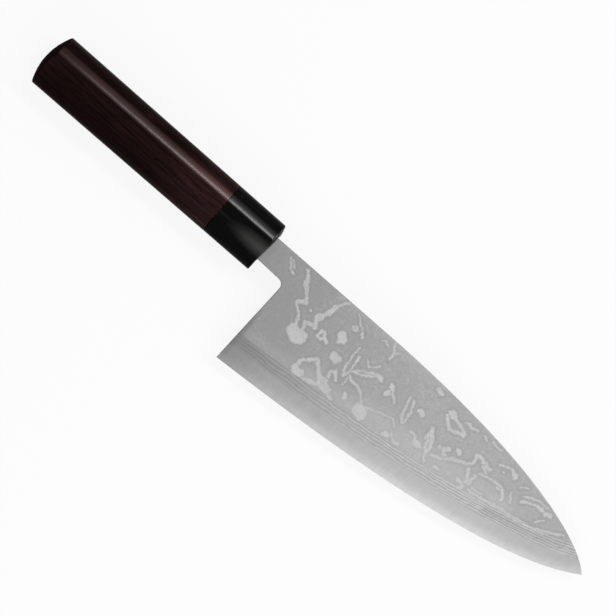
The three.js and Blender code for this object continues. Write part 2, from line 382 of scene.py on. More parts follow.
blade_place, come_in, go_out = new_group(
    "blade_place", [("Point", "Vector")],
    [("In space", "Vector"), ("From heel", "Vector"), ("Along", "Float"),
     ("Depth", "Float"), ("Height", "Float"), ("Up bevel", "Float")])
tree = blade_place
from_heel = vector(tree, "SUBTRACT", come_in["Point"], tuple(HEEL))
in_space = vector(tree, "MULTIPLY", from_heel, TO_MM)
feed(tree, go_out["In space"], in_space)
feed(tree, go_out["From heel"], vector(tree, "MULTIPLY", in_space, (1, 1, 0)))
feed(tree, go_out["Along"], axis(tree, in_space, "X"))
under_front = vector(tree, "SUBTRACT", tuple(FRONT_POINT), come_in["Point"])
depth = times(tree, measure(tree, "DOT_PRODUCT", under_front, tuple(FRONT_AXIS)), PER_MM)
feed(tree, go_out["Depth"], depth)
over_back = calc(tree, "SUBTRACT", axis(tree, come_in["Point"], "Z"), BACK_Z)
height = times(tree, over_back, PER_MM)
feed(tree, go_out["Height"], height)
thickness = calc(tree, "ADD", height, depth)
feed(tree, go_out["Up bevel"], calc(tree, "DIVIDE", height, thickness))
print("group:", tree.name)

# %% [markdown]
# ## Polishing lines
# Stones and cloths leave hair lines. They could be drawn one by one; a noise that is stretched along the
# polishing direction gives any number of them. Steel and horn both have them.
# %% Group: polishing lines
polish_lines, come_in, go_out = new_group(
    "polish_lines", [("Point", "Vector"), ("Scales", "Vector")], [("Lines", "Float")])
tree = polish_lines
drawn_out = streaks(tree, come_in["Point"], come_in["Scales"], 3.0, 0.6)["Fac"]
feed(tree, go_out["Lines"], drawn_out)
print("group:", tree.name)

# %% [markdown]
# ## Tarnish and painted shade at the heel
# The blade is darker by the heel, in patches, with small dark specks. The darkening fades over some
# centimetres. A narrow strip along the lower half of the heel is darkest: that strip is painted shade, the
# dark that the rounded heel reflects.
# %% Group: heel tarnish and painted shade
SHADE_REACH_MM = 26.0
SPECKS_REACH_MM = 16.0
PATCHES_MM = 9.0

heel_tarnish_and_shade, come_in, go_out = new_group(
    "heel_tarnish_and_shade", [("In space", "Vector")], [("Shade", "Float"), ("Strip", "Float"), ("Specks", "Float")])
tree = heel_tarnish_and_shade
place = come_in["In space"]
along = axis(tree, place, "X")
up = axis(tree, place, "Y")
patchy = noise(tree, place, 0.35)["Fac"]
unsteady = calc(tree, "MULTIPLY_ADD", patchy, PATCHES_MM, -PATCHES_MM / 2)
far = calc(tree, "ADD", along, unsteady)
feed(tree, go_out["Shade"], ramp(tree, far, SHADE_REACH_MM, 0.0))
# The strip by the heel is painted shade, the dark that the rounded heel reflects.
low_down = ramp(tree, up, 32.0, 18.0)
feed(tree, go_out["Strip"], times(tree, ramp(tree, along, 3.4, 1.0), low_down))
spots = ramp(tree, noise(tree, place, 1.5, 2.0, 0.6)["Fac"], 0.62, 0.7)
near = ramp(tree, far, SPECKS_REACH_MM, 2.0)
feed(tree, go_out["Specks"], times(tree, spots, near))
print("group:", tree.name)

# %% [markdown]
# ## Satin steel
# The lower bevel is rubbed to an even satin in both steels, so that the weld between them hardly shows. Its
# colour is painted paler towards the tip: this is painted light. It is a little cloudy all over and carries
# the stone's hair lines, which run across the bevel.
# %% Group: satin tone
ACROSS_BEVEL = (2.2, 0.16, 0.16)

satin_tone, come_in, go_out = new_group("satin_tone", [("In space", "Vector")], [("Tone", "Float")])
tree = satin_tone
place = come_in["In space"]
cloud = noise(tree, place, 0.25, 3.0)["Fac"]
hair = use_group(tree, polish_lines, place, ACROSS_BEVEL)["Lines"]
uneven = times(tree, ramp(tree, cloud, 0.2, 0.8, 0.97, 1.03),
               ramp(tree, hair, 0.25, 0.75, 0.95, 1.04))
# Paler towards the tip: painted light.
paler = ramp(tree, axis(tree, place, "X"), 0.0, 140.0, 0.76, 1.05)
feed(tree, go_out["Tone"], times(tree, paler, uneven))
print("group:", tree.name)

# %% [markdown]
# ## The pattern in the steel
# The smith folds two steels together, twists and punches the bar, and etches the ground face, so that the
# pale steel's layers come out as bands, rings and islands. The pattern is chance, so it is drawn: a list of
# strokes, each a half width and a few points in millimetres from the heel. A stroke is a row of capsules,
# and the distance to the nearest capsule, pushed about by noise, gives the ragged outline.
# %% Strokes of pale steel
STROKES = [
    # the jagged band below the neck and its island
    (0.75, [(5, 53.5), (7.5, 51), (10, 46.5), (12.5, 44)]),
    (1.1, [(7.7, 49), (8.8, 47.6)]),
    (1, [(13.4, 42.6), (10.6, 40.4)]),
    (0.6, [(11, 39.5), (15, 35.5), (16.5, 32)]),
    (2.8, [(16.9, 30), (21.2, 29.9)]),
    (1.7, [(18, 27.7), (20, 27.5)]),
    # the second band, widening into a hook
    (0.45, [(27.6, 54), (25.4, 52), (24.6, 49.5)]),
    (1.1, [(24.4, 49), (23.3, 44.5)]),
    (1.5, [(22.3, 42.3), (21.6, 40.8)]),
    (0.8, [(21.6, 40), (23.2, 37.2), (18.6, 36)]),
    (0.6, [(18.8, 35.8), (19.6, 33.2)]),
    (0.5, [(16.7, 41.1), (17.1, 41)]),
    # hatching on the neck
    (0.35, [(-4, 53), (-0.4, 48.8)]),
    (0.3, [(-2.6, 53), (0, 50)]),
    (0.55, [(0.6, 48.3), (1.6, 47.9)]),
    # two small rings, one with a tail
    (0.6, [(26, 36.3), (26.7, 37.8), (28.3, 37.7), (29, 36.3), (28.3, 34.7), (26.7, 34.7), (26, 36.3)]),
    (0.7, [(29.5, 36.4), (31, 35.2)]),
    (0.4, [(35.2, 48), (36.4, 49.1), (37.6, 47.9), (36.5, 46.8), (35.2, 48)]),
    # an arch over the bevel and its patches
    (0.75, [(27.8, 22.4), (33, 28), (37.3, 22.8)]),
    (1, [(27.8, 22), (27.3, 18.2)]),
    (1.7, [(28.5, 18), (31.3, 18.3)]),
    (1.3, [(38.3, 22.8), (41.3, 22.9)]),
    (1.9, [(40.5, 20.8), (44, 20.3)]),
    (0.8, [(44.5, 19.4), (48, 18.6)]),
    # three islands up the face
    (1.9, [(33.8, 42), (35.3, 40.6)]),
    (0.8, [(34.3, 39.4), (34.4, 38.6)]),
    (1.2, [(36.6, 33.8), (39.8, 33.7)]),
    (1.4, [(38, 32.3), (38.9, 32)]),
    (0.65, [(41.3, 25.2), (39.8, 27.1), (41.9, 28.7), (44.4, 26)]),
    (0.8, [(33.6, 17.3), (37.6, 18.6), (40.6, 19.9)]),
    # a thread from the spine, a long loop under it
    (0.3, [(33.8, 53.2), (37, 50.8), (39.8, 48.6)]),
    (0.6, [(39.8, 48.6), (41, 46.8)]),
    (0.4, [(43, 42.5), (43.2, 36), (44.4, 31.2), (45.8, 29.3), (46.3, 33), (45.8, 40)]),
    # a spindle with a knot, a wave over it
    (0.4, [(47.4, 33.2), (50.4, 36.6), (54, 38), (57.6, 40)]),
    (0.4, [(47.6, 33.4), (51.4, 34.8), (54.6, 37), (57, 39)]),
    (1, [(58, 39), (58.9, 38.6)]),
    (0.35, [(49.2, 41), (50.6, 39.4), (53, 40.4), (55, 42.8)]),
    # an arch that steps down to the palest patch
    (0.6, [(47.8, 31), (50, 29.9), (52.6, 30.1), (55, 29)]),
    (0.5, [(55.6, 29.2), (58, 26.6), (59, 25.4)]),
    (0.9, [(51.4, 24), (52, 22.6)]),
    (0.3, [(48, 30), (47.6, 26.5)]),
    (2.5, [(59.6, 22.4), (61.8, 22.1)]),
    (0.9, [(58, 24.2), (62.6, 24.4)]),
    (0.33, [(61.6, 25.4), (65, 26.9), (69.4, 28.2), (73.4, 29.7), (75.8, 27.4)]),
    # a forked twig, a long hairpin and a drop
    (1, [(64, 39.7), (65, 39)]),
    (0.5, [(65.4, 38.8), (69.5, 34.7)]),
    (1, [(64.6, 36.6), (64.1, 35.4)]),
    (0.5, [(73.4, 41), (74.3, 36.6), (75.2, 33), (77.2, 30.9), (78, 32.2), (76.8, 37.6), (75.3, 41.4)]),
    (1.1, [(80, 39.4), (81.4, 39)]),
    # marks along the spine
    (0.35, [(48.2, 51.4), (50, 52.2), (51.6, 51.6)]),
    (0.4, [(53, 54), (55.6, 50.4), (57.4, 51.9)]),
    (0.5, [(55.7, 50.3), (55.8, 47.4)]),
    (0.8, [(79.4, 51.3), (82.6, 50.9)]),
    (0.5, [(97.8, 48.6), (99.6, 49.2), (101, 48.4), (104, 49.5)]),
    (0.4, [(107.6, 49.4), (109.8, 48.9)]),
    (0.4, [(112.4, 50.3), (114.6, 49.4), (117, 50.1)]),
    # the large ring with its bright head
    (1.5, [(90.9, 47.9), (91.9, 47.4)]),
    (0.6, [(92.6, 47.4), (96, 46.4), (99.4, 45.4), (100.8, 44.2)]),
    (0.75, [(100.5, 43.9), (97, 42.6)]),
    (0.65, [(97, 42.6), (94, 42), (91.6, 43.8), (89.8, 46)]),
    # crossing spindles and the drops before them
    (0.8, [(88.6, 37.6), (91.4, 34.2), (93.2, 30.6), (93, 28)]),
    (0.7, [(89.4, 36.2), (89, 33)]),
    (0.5, [(90.2, 33.2), (91.2, 30.2), (94.8, 24.6)]),
    (0.7, [(83, 30.4), (85, 30), (86.6, 28.4)]),
    (1.4, [(87.2, 27.8), (88.6, 28.1)]),
    (0.75, [(79.8, 22.6), (82, 23)]),
    (0.35, [(76.4, 25.2), (79.4, 22.6)]),
    (1.1, [(74.6, 22.3), (76.2, 23)]),
    # the long diagonal, its crown and islands
    (0.6, [(95.6, 29), (98.6, 30), (102, 31.6), (105, 33.8), (111, 37.2), (111.5, 39), (110.3, 41.2)]),
    (0.65, [(110.3, 41.4), (113.4, 41.9), (114.2, 40.6), (115.4, 41.4), (116.6, 40.2), (119, 40.9)]),
    (0.25, [(100.6, 31.2), (104, 34.4)]),
    (0.75, [(100, 35.6), (98, 34), (99.6, 32.8)]),
    (0.45, [(96, 33.3), (96.6, 33.4)]),
    (1, [(103.3, 37.4), (103.8, 37.1)]),
    (0.5, [(115.6, 39.4), (118, 38.3)]),
    # a small V and the drops near the bevel
    (0.7, [(111.6, 34.6), (114.4, 30.4)]),
    (0.65, [(115.6, 34.4), (115.4, 30.6)]),
    (0.9, [(114.3, 30.2), (115.3, 29.8)]),
    (0.7, [(100, 26), (102, 26.2)]),
    (0.8, [(110.8, 28), (113, 28.4)]),
    (0.45, [(113, 28.2), (115, 27), (113.4, 25.8)]),
    (0.33, [(116, 36), (120, 37.3), (125, 37.8)]),
    # bands that lie along the top of the bevel
    (0.5, [(116.8, 27.6), (121, 28.3), (125, 29), (129.8, 29.9)]),
    (0.35, [(118, 29.1), (123, 30.1)]),
    # hooks towards the tip
    (0.45, [(120.3, 44.8), (123, 46), (126, 46.9)]),
    (0.8, [(126.4, 46.6), (128.7, 45.4), (128.8, 44.2)]),
    (0.5, [(123.4, 43.5), (123.8, 43.4)]),
    (0.55, [(122.8, 37.6), (126, 38.3), (128.6, 37), (130.4, 34.4), (130.5, 33.4)]),
    (0.6, [(126, 36.4), (126.6, 36.2)]),
    (0.33, [(131.4, 39), (134, 35.2)]),
    (0.6, [(137.4, 38.6), (138.6, 39.8), (142, 41.4), (147, 42)]),
    (0.9, [(148.6, 41.4), (150.8, 42.2)]),
    (0.4, [(136.4, 41), (140, 43), (143.6, 44), (147.6, 43.7)]),
    (0.25, [(133, 43), (136, 45.4)]),
    (0.3, [(147, 36.4), (150, 39)]),
    # threads that follow the bevel to the tip
    (0.35, [(129, 30.2), (136, 31.5), (142, 32.1), (147, 33.3), (152, 35.4), (160.4, 40)]),
    (0.3, [(134, 30.4), (140, 30.6), (148, 32.4), (155, 35.8)]),
]
print(len(STROKES), "strokes")

# %% Group: one capsule of a stroke
capsule, come_in, go_out = new_group(
    "capsule",
    [("Place", "Vector"), ("Start", "Vector"), ("Run", "Vector"), ("Share per mm", "Vector"),
     ("Half width", "Float")],
    [("Distance", "Float")])
tree = capsule
from_start = vector(tree, "SUBTRACT", come_in["Place"], come_in["Start"])
# A node is made after those that feed it: Cycles works in that order, and then few values wait.
share = measure(tree, "DOT_PRODUCT", from_start, come_in["Share per mm"])
share = add(tree, "Clamp", share).outputs[0]
on_line = add(tree, "VectorMath", come_in["Run"], operation="SCALE")
feed(tree, on_line.inputs["Scale"], share)
from_line = measure(tree, "DISTANCE", from_start, on_line.outputs[0])
feed(tree, go_out["Distance"], calc(tree, "SUBTRACT", from_line, come_in["Half width"]))
print("group:", tree.name)


# %% Distance to the nearest stroke
def capsules_of(strokes):
    """Every straight stretch of the strokes, with its half width."""
    return [(Vector((*start, 0)), Vector((*end, 0)), half_width)
            for half_width, points in strokes
            for start, end in zip(points, points[1:])]


def nearest_capsule(tree, place, capsules):
    """The distance to the nearest capsule, half by half, so that few values wait at a time."""
    if len(capsules) > 1:
        middle = len(capsules) // 2
        first_half = nearest_capsule(tree, place, capsules[:middle])
        second_half = nearest_capsule(tree, place, capsules[middle:])
        return calc(tree, "MINIMUM", first_half, second_half)
    start, end, half_width = capsules[0]
    run = end - start
    return use_group(tree, capsule, place, start, run, run / run.length_squared, half_width)["Distance"]


CAPSULES = capsules_of(STROKES)
print(len(CAPSULES), "capsules")

# %% [markdown]
# ## Patterned steel: the flat
# The etched flat is a matt middle grey, a little lighter towards the tip. On it show the pale strokes, some
# worn fainter than others and each with a dark rim, and between them faint flecks and water lines, fewer by
# the heel. Stoning the bevel also rubs the flat a little beside the ridge, so a pale haze lies along it, a
# faint one by the heel and a wider one over the middle of the blade. A last faint one lies along the spine.
# The haze is given like strokes; a negative half width makes it fainter.
# %% Ragged outlines, water lines and haze
def ragged_place(tree, place):
    """Pushes a place about by noise, far in slow waves and a little in quick ones."""
    for waves_per_mm, reach_mm in ((0.32, 2.0), (0.95, 1.5), (2.4, 0.9)):
        push = vector(tree, "SUBTRACT", noise(tree, place, waves_per_mm)["Color"], (0.5, 0.5, 0.5))
        place = vector(tree, "MULTIPLY_ADD", push, (reach_mm, reach_mm, 0), place)
    return place


def water_lines(tree, place):
    """Faint lines round hills and hollows of the layers, like the height lines of a map, from 0 to 1."""
    lines_per_hill = 16
    hills = noise(tree, place, 0.085, 3.0, 0.55)["Fac"]
    wave = calc(tree, "SINE", times(tree, hills, lines_per_hill * math.tau))
    here = noise(tree, place, 0.06, 1.0)["Fac"]
    return times(tree, ramp(tree, wave, 0.0, 0.9), ramp(tree, here, 0.35, 0.65, 0.3, 1.0))


HAZE = capsules_of([
    (-4, [(6, 17), (30, 18.5)]),
    (-2, [(30, 18.5), (62, 22.5)]),
    (1, [(62, 22.5), (100, 27), (132, 31)]),
    (-4, [(24, 55), (80, 54.5)]),
])
print(len(HAZE), "stretches of haze")

# %% Colour of the flat
ETCHED_GREY = 0.47
PALE_GREY = 0.69
OUTLINE_MM = 0.3
HALO_MM = 3.5
HAZE_MM = 9.0


def etched_flat(tree, place, mottle):
    """The colour of the flat."""
    on_face = place["From heel"]
    distance = nearest_capsule(tree, ragged_place(tree, on_face), CAPSULES)
    worn = ramp(tree, noise(tree, on_face, 0.16, 3.0, 0.6)["Fac"], 0.36, 0.6, 0.8, 1.0)
    uneven = times(tree, ramp(tree, mottle, 0.3, 0.6, 0.65, 1.0), worn)
    strokes = times(tree, ramp(tree, distance, OUTLINE_MM, -OUTLINE_MM), uneven)

    flecks = ramp(tree, noise(tree, on_face, 0.42, 4.0, 0.62)["Fac"], 0.54, 0.66)
    faint = calc(tree, "MAXIMUM", flecks, water_lines(tree, on_face))
    faint = times(tree, faint, ramp(tree, place["Along"], 0.0, 45.0, 0.12, 0.26))
    veil = calc(tree, "MAXIMUM", faint, ramp(tree, distance, HALO_MM, 0.0, 0.0, 0.1))
    haze = ramp(tree, nearest_capsule(tree, on_face, HAZE), HAZE_MM, 0.0, 0.0, 0.3)
    pale = calc(tree, "MAXIMUM", strokes, calc(tree, "ADD", veil, haze))

    etched = blend(tree, mottle, grey(ETCHED_GREY * 0.84), grey(ETCHED_GREY * 1.12))
    etched = dim(tree, etched, ramp(tree, place["Along"], 0.0, 90.0, 0.895, 1.05))
    rim = times(tree, ramp(tree, distance, 0.1, 0.5), ramp(tree, distance, 1.4, 0.7, 0.0, 0.22))
    etched = blend(tree, rim, etched, grey(ETCHED_GREY * 0.5))
    return blend(tree, pale, etched, grey(PALE_GREY))


print(f"etched {ETCHED_GREY}, pale {PALE_GREY}")

# %% [markdown]
# ## Patterned steel: the bevel
# The bevel, the spine and the heel are satin and cut down through the layers, so there thin light and dark
# lines follow each other. They fade before the weld, where the hard steel begins, and are a little clearer
# and paler towards the tip. Above the weld the bevel is darkest by the heel. A fine dark line runs just
# below the ridge, fading towards the tip.
# %% Colour of the bevel
SATIN_GREY = 0.48
SATIN_DEPTH_MM = (0.05, 0.4)
LAYER_MM = 0.5
LAYER_CONTRAST = 0.095
LAYER_SWELL = 2.0


def layer_lines(tree, place):
    """Lines where a ground face cuts down through the layers, from 1 in a light one to -1 in a dark one."""
    thickness = ramp(tree, place["Along"], 0.0, 150.0, LAYER_MM, LAYER_MM * 0.3)
    swell = streaks(tree, place["From heel"], (0.12, 0.3, 0), 5.0, 0.6)["Fac"]
    layer = calc(tree, "MULTIPLY_ADD", swell, LAYER_SWELL, calc(tree, "DIVIDE", place["Depth"], thickness))
    wave = calc(tree, "SINE", times(tree, layer, math.tau))
    return ramp(tree, ramp(tree, wave, -0.7, 0.8), 0.0, 1.0, 1.0, -1.0)


def ground_bevel(tree, place, flat_colour, satin_share):
    """The colour of the flat with that of the bevel laid over it, wherever the steel is ground."""
    along, depth = place["Along"], place["Depth"]
    # The satin tone is painted paler towards the tip: painted light.
    tone = use_group(tree, satin_tone, place["In space"])["Tone"]
    colour = blend(tree, satin_share, flat_colour, dim(tree, grey(SATIN_GREY)[:3], tone))
    over_weld = ramp(tree, place["Up bevel"], 0.55, 0.72)
    darker = times(tree, times(tree, satin_share, over_weld), ramp(tree, along, 0.0, 60.0, 0.72, 0.1))
    colour = blend(tree, darker, colour, grey(ETCHED_GREY * 0.5))

    contrast = ramp(tree, along, 40.0, 130.0, LAYER_CONTRAST, LAYER_CONTRAST * 1.6)
    paler = ramp(tree, along, 100.0, 155.0, 0.0, 0.06)
    layers = calc(tree, "MULTIPLY_ADD", layer_lines(tree, place), contrast, paler)
    shown = times(tree, ramp(tree, depth, 0.0, 0.12), over_weld)
    colour = dim(tree, colour, calc(tree, "MULTIPLY_ADD", layers, shown, 1.0))

    dark_line_below_ridge = times(tree, ramp(tree, depth, 0.01, 0.06), ramp(tree, depth, 0.24, 0.1))
    dark_line_below_ridge = times(tree, dark_line_below_ridge, ramp(tree, along, 0.0, 140.0, 0.42, 0.03))
    return blend(tree, dark_line_below_ridge, colour, grey(ETCHED_GREY * 0.3))


print(f"layers {LAYER_MM} mm thick at the heel")

# %% Finish: patterned steel
SATIN_ROUGHNESS = 0.48
ALONG_FLAT = (0.05, 4.0, 4.0)


def patterned_steel():
    made, tree, shader = new_finish("patterned_steel")
    place = use_group(tree, blade_place, add(tree, "TexCoord").outputs["Object"])
    tarnish_and_shade = use_group(tree, heel_tarnish_and_shade, place["In space"])
    mottle = noise(tree, place["In space"], 0.9, 5.0, 0.65)["Fac"]
    satin_share = ramp(tree, place["Depth"], *SATIN_DEPTH_MM)

    colour = ground_bevel(tree, place, etched_flat(tree, place, mottle), satin_share)
    off_flat = ramp(tree, place["Depth"], 0.0, 0.5, 0.05, 0.5)
    # Darker by the heel, and darkest in a strip by the heel, which is painted shade.
    colour = blend(tree, times(tree, tarnish_and_shade["Shade"], off_flat), colour, grey(ETCHED_GREY * 0.5))
    colour = blend(tree, times(tree, tarnish_and_shade["Strip"], 0.5), colour, grey(ETCHED_GREY * 0.4))
    feed(tree, shader["Base Color"], colour)

    rough = blend(tree, satin_share, ramp(tree, mottle, 0.2, 0.8, 0.5, 0.62), grey(SATIN_ROUGHNESS))
    feed(tree, shader["Roughness"], rough)
    lines = use_group(tree, polish_lines, place["In space"], ALONG_FLAT)["Lines"]
    height = calc(tree, "MULTIPLY_ADD", lines, 0.4, mottle)
    feed(tree, shader["Normal"], relief(tree, height, 0.12, 0.05))
    feed(tree, shader["Metallic"], 1.0)
    return finished(made)


PATTERNED_STEEL = patterned_steel()

# %% [markdown]
# ## Hard steel
# The edge and the back are one plain hard steel. The wide bevel is satin, and a narrow strip along the edge
# is rubbed finer and paler. The back is hollow-ground: its polished rim touches the stone and the hollow
# keeps the lines of the grinding wheel.
# %% Finish: hard steel
EDGE_GREY = 0.6
RIM_ROUGHNESS = 0.22
ALONG_BACK = (0.03, 5.0, 5.0)


def hard_steel():
    made, tree, shader = new_finish("hard_steel")
    source = add(tree, "TexCoord").outputs
    place = use_group(tree, blade_place, source["Object"])
    tarnish_and_shade = use_group(tree, heel_tarnish_and_shade, place["In space"])
    up_bevel = place["Up bevel"]
    facing = axis(tree, source["Normal"], "Z")
    on_front = ramp(tree, facing, 0.3, 0.6)
    on_back = ramp(tree, facing, -0.3, -0.6)
    in_hollow = times(tree, on_back, ramp(tree, place["Height"], 0.02, 0.12))
    on_rim = calc(tree, "SUBTRACT", on_back, in_hollow)
    lines = use_group(tree, polish_lines, place["In space"], ALONG_BACK)["Lines"]

    towards_edge = times(tree, ramp(tree, up_bevel, 0.5, 0.02), on_front)
    colour = blend(tree, towards_edge, grey(SATIN_GREY), grey(EDGE_GREY))
    # The satin tone is painted paler towards the tip: painted light.
    colour = dim(tree, colour, use_group(tree, satin_tone, place["In space"])["Tone"])
    # Darker by the heel, darkest in a strip by the heel that is painted shade, and specks of tarnish.
    for mask, strength, darkness in (
            ("Shade", ramp(tree, up_bevel, 0.04, 0.45, 0.46, 0.55), 0.5),
            ("Strip", ramp(tree, up_bevel, 0.04, 0.45, 0.0, 0.4), 0.4),
            ("Specks", ramp(tree, on_front, 0.0, 1.0, 0.12, 0.5), 0.25)):
        colour = blend(tree, times(tree, tarnish_and_shade[mask], strength), colour, grey(SATIN_GREY * darkness))
    colour = blend(tree, in_hollow, colour, dim(tree, colour, ramp(tree, lines, 0.3, 0.7, 0.66, 0.9)))
    colour = blend(tree, times(tree, on_rim, 0.7), colour, grey(EDGE_GREY))
    feed(tree, shader["Base Color"], colour)

    plain = ramp(tree, on_rim, 0.0, 1.0, SATIN_ROUGHNESS - 0.06, RIM_ROUGHNESS)
    feed(tree, shader["Roughness"], calc(tree, "MULTIPLY_ADD", lines, 0.12, plain))
    off_front = calc(tree, "SUBTRACT", 1.0, on_front)
    feed(tree, shader["Normal"], relief(tree, times(tree, lines, off_front), 0.1, 0.04))
    feed(tree, shader["Metallic"], 1.0)
    return finished(made)


HARD_STEEL = hard_steel()

# %% [markdown]
# ## The front of the blade
# The patterned steel makes the front, the neck and the hidden tang. In the frame the two steels keep a
# hair's gap, but a forge weld is closed, so each corner of the weld slides on along its own side edge until
# it almost touches. Then the ridge between the flat and the bevel is just broken, so that it stays a line,
# and the spine, the neck and the heel are eased all round. Edges in the weld, and those near the tip where
# the steel runs out to nothing, stay as they are.
# %% Piece: front of the blade
WELD_GAP = 0.06 * MM
WELD_LEFT = 0.005 * MM
LEAST_WALL = 1.2 * MM
NEAR_BACK = 0.2 * MM
NEAR_CORE = 0.8 * MM
EASED_UP_TO_X = TIP_X - 18 * MM
LEVEL = 0.999
NEARLY_LEVEL = 0.98
LEANING = 0.85
UPRIGHT = 0.3
TO_THE_TIP = 0.9


def is_wall(face):
    """An upright face that is tall enough to lose an edge."""
    levels = [corner.co.z for corner in face.verts]
    return abs(face.normal.z) < UPRIGHT and max(levels) - min(levels) > LEAST_WALL


def is_flat_front(face):
    return face.normal.z > LEVEL


def is_bevel(face):
    return LEANING < face.normal.z < NEARLY_LEVEL


def faces_down(face):
    return face.normal.z < -NEARLY_LEVEL


def is_back(face):
    return faces_down(face) and face.calc_center_median().z < BACK_Z + NEAR_BACK


def is_weld(face):
    """Faces the hard steel, flat or at the heel's end of it."""
    in_blade = face.calc_center_median().x > FERRULE_FRONT_X
    lies_on_core = faces_down(face) and not is_back(face)
    return in_blade and (lies_on_core or face.normal.x > TO_THE_TIP)


def in_reach(edge):
    """Shows in front of the ferrule and isn't at the thin tip."""
    front = max(corner.co.x for corner in edge.verts)
    return FERRULE_FRONT_X < front < EASED_UP_TO_X


def at_core_end(edge):
    """Lies on the back, just where the neck meets the end of the hard steel."""
    on_back = all(corner.co.z < BACK_Z + NEAR_BACK for corner in edge.verts)
    front = max(corner.co.x for corner in edge.verts)
    return on_back and front > HEEL.x - NEAR_CORE


def close_weld(bm, lying):
    """Slides the corners of the lying or of the standing weld on along their side edges."""
    weld_faces = [face for face in bm.faces if is_weld(face) and faces_down(face) == lying]
    corners = {corner for face in weld_faces for corner in face.verts}
    outward = max(weld_faces, key=lambda face: face.calc_area()).normal.copy()
    moved = {}
    for corner in corners:
        for edge in corner.link_edges:
            slide = corner.co - edge.other_vert(corner).co
            if slide.dot(outward) > WELD_GAP:
                moved[corner] = corner.co + slide * ((WELD_GAP - WELD_LEFT) / slide.dot(outward))
    for corner, place in moved.items():
        corner.co = place
    bm.normal_update()
    print(f"weld: moved {len(moved)} of {len(corners)} corners")


bm = merged_copy("blade_cladding")
close_weld(bm, lying=True)
close_weld(bm, lying=False)

# %% Eased edges of the front
RIDGE_EASE_MM = 0.25
SPINE_EASE_MM = 0.4


def is_face_of_blade(face):
    return face.normal.z > LEANING or is_back(face)


def is_bare_wall(face):
    return is_wall(face) and not is_weld(face)


ridge = [edge for edge in edges_between(bm, is_flat_front, is_bevel) if in_reach(edge)]
ease(bm, "bevel's ridge", ridge, RIDGE_EASE_MM)
rims = [edge for edge in edges_between(bm, is_face_of_blade, is_bare_wall)
        if in_reach(edge) and not at_core_end(edge)]
ease(bm, "spine, neck and heel", rims, SPINE_EASE_MM)
finish_piece(bm, "blade_front", "blade_cladding", PATTERNED_STEEL)

# %% [markdown]
# ## The edge and the back of the blade
# The hard steel is copied whole. Its back is eased along the spine and the heel, but never along the edge
# nor at the sharp corner of the heel. Its flat front is the weld, and the edges there stay crisp, so that
# the bevel runs straight on into the front piece.
# %% Piece: edge and back
CORE_EASE_MM = 0.24
SHARP_CORNER = 4 * MM
LEFT_SHARP = 1 * MM
TO_THE_HANDLE = -0.7
NECK_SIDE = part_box("tang_seal")[0][1]

bm = merged_copy("blade_core")


def is_outer_wall(face):
    """A wall that shows, not the one that is welded to the neck."""
    at_neck = face.normal.x < TO_THE_HANDLE and face.calc_center_median().y > NECK_SIDE
    return is_wall(face) and not at_neck


def is_bevel_or_back(face):
    return is_bevel(face) or is_back(face)


for edge in edges_between(bm, is_bevel_or_back, is_outer_wall):
    corner = min(edge.verts, key=lambda end: end.co.y)
    rise = edge.other_vert(corner).co.y - corner.co.y
    if corner.co.y < HEEL.y + SHARP_CORNER < corner.co.y + rise:
        bmesh.utils.edge_split(edge, corner, (HEEL.y + SHARP_CORNER - corner.co.y) / rise)
rims = [edge for edge in edges_between(bm, is_bevel_or_back, is_outer_wall)
        if in_reach(edge) and min(end.co.y for end in edge.verts) > HEEL.y + LEFT_SHARP]
ease(bm, "rims of the hard steel", rims, CORE_EASE_MM)
finish_piece(bm, "blade_edge_and_back", "blade_core", HARD_STEEL, crisp=is_flat_front)

# %% [markdown]
# ## A rubbed ridge
# Ferrule and handle share one section, a D with a ridge for the fingers. Fingers polish the ridge and the
# slope beyond it, so horn and wood get a clear gloss there over a duller finish. It fades with the distance
# from a line on that slope and ends just below the ridge. Elsewhere a low index of refraction keeps the
# round sides from mirroring the white card at a slant.
# %% Group: rubbed ridge
LONG_EDGE = 15 * MM
RUBBED_LINE_MM = Vector((0, 1.4, -0.4))
DULL_INDEX = 1.05


def finger_ridge(bm):
    """The highest of the long edges that run along the handle."""
    long_edges = [edge for edge in bm.edges if edge.calc_length() > LONG_EDGE]
    return max(long_edges, key=lambda edge: edge.verts[0].co.z + edge.verts[1].co.z)


bm = merged_copy("handle_body")
RIDGE_MM = sum((end.co for end in finger_ridge(bm).verts), Vector()) / (2 * MM)
bm.free()
rubbed_ridge, come_in, go_out = new_group("rubbed_ridge", [("Point", "Vector")], [("Gloss", "Float")])
tree = rubbed_ridge
from_line = vector(tree, "SUBTRACT", come_in["Point"], RIDGE_MM + RUBBED_LINE_MM)
from_line = vector(tree, "MULTIPLY", from_line, (0, 1, 1))
near = ramp(tree, measure(tree, "LENGTH", from_line), 3.1, 1.2)
beyond = ramp(tree, axis(tree, from_line, "Y"), -2.1, -1.3)
# In the wood this mask also paints a highlight into the colour.
feed(tree, go_out["Gloss"], times(tree, near, beyond))
print(f"group: {tree.name}; ridge at y {RIDGE_MM.y:.1f}, z {RIDGE_MM.z:.1f} mm")

# %% [markdown]
# ## Horn
# The ferrule is buffalo horn, black and polished. Horn grows in fine layers along its length, which show as
# faint brown-grey streaks under the gloss. A grey patch that runs in from the front below the ridge is a
# painted reflection.
# %% Finish: horn
HORN_BLACK = (0.0046, 0.0045, 0.0045, 1.0)
HORN_STREAK = (0.012, 0.0115, 0.0112, 1.0)
HORN_PAINTED_REFLECTION = (0.06, 0.059, 0.058, 1.0)
HORN_GLOSS = 0.9
PAINTED_REFLECTION_MM = Vector((HEEL.x / MM - 16.5, HEEL.y / MM + 46.8, 18.0))
PAINTED_REFLECTION_REACH_MM = Vector((16.0, 4.2, 9.0))


def point_in_mm(tree):
    """Where the shaded point lies in the frame."""
    return vector(tree, "MULTIPLY", add(tree, "TexCoord").outputs["Object"], TO_MM)


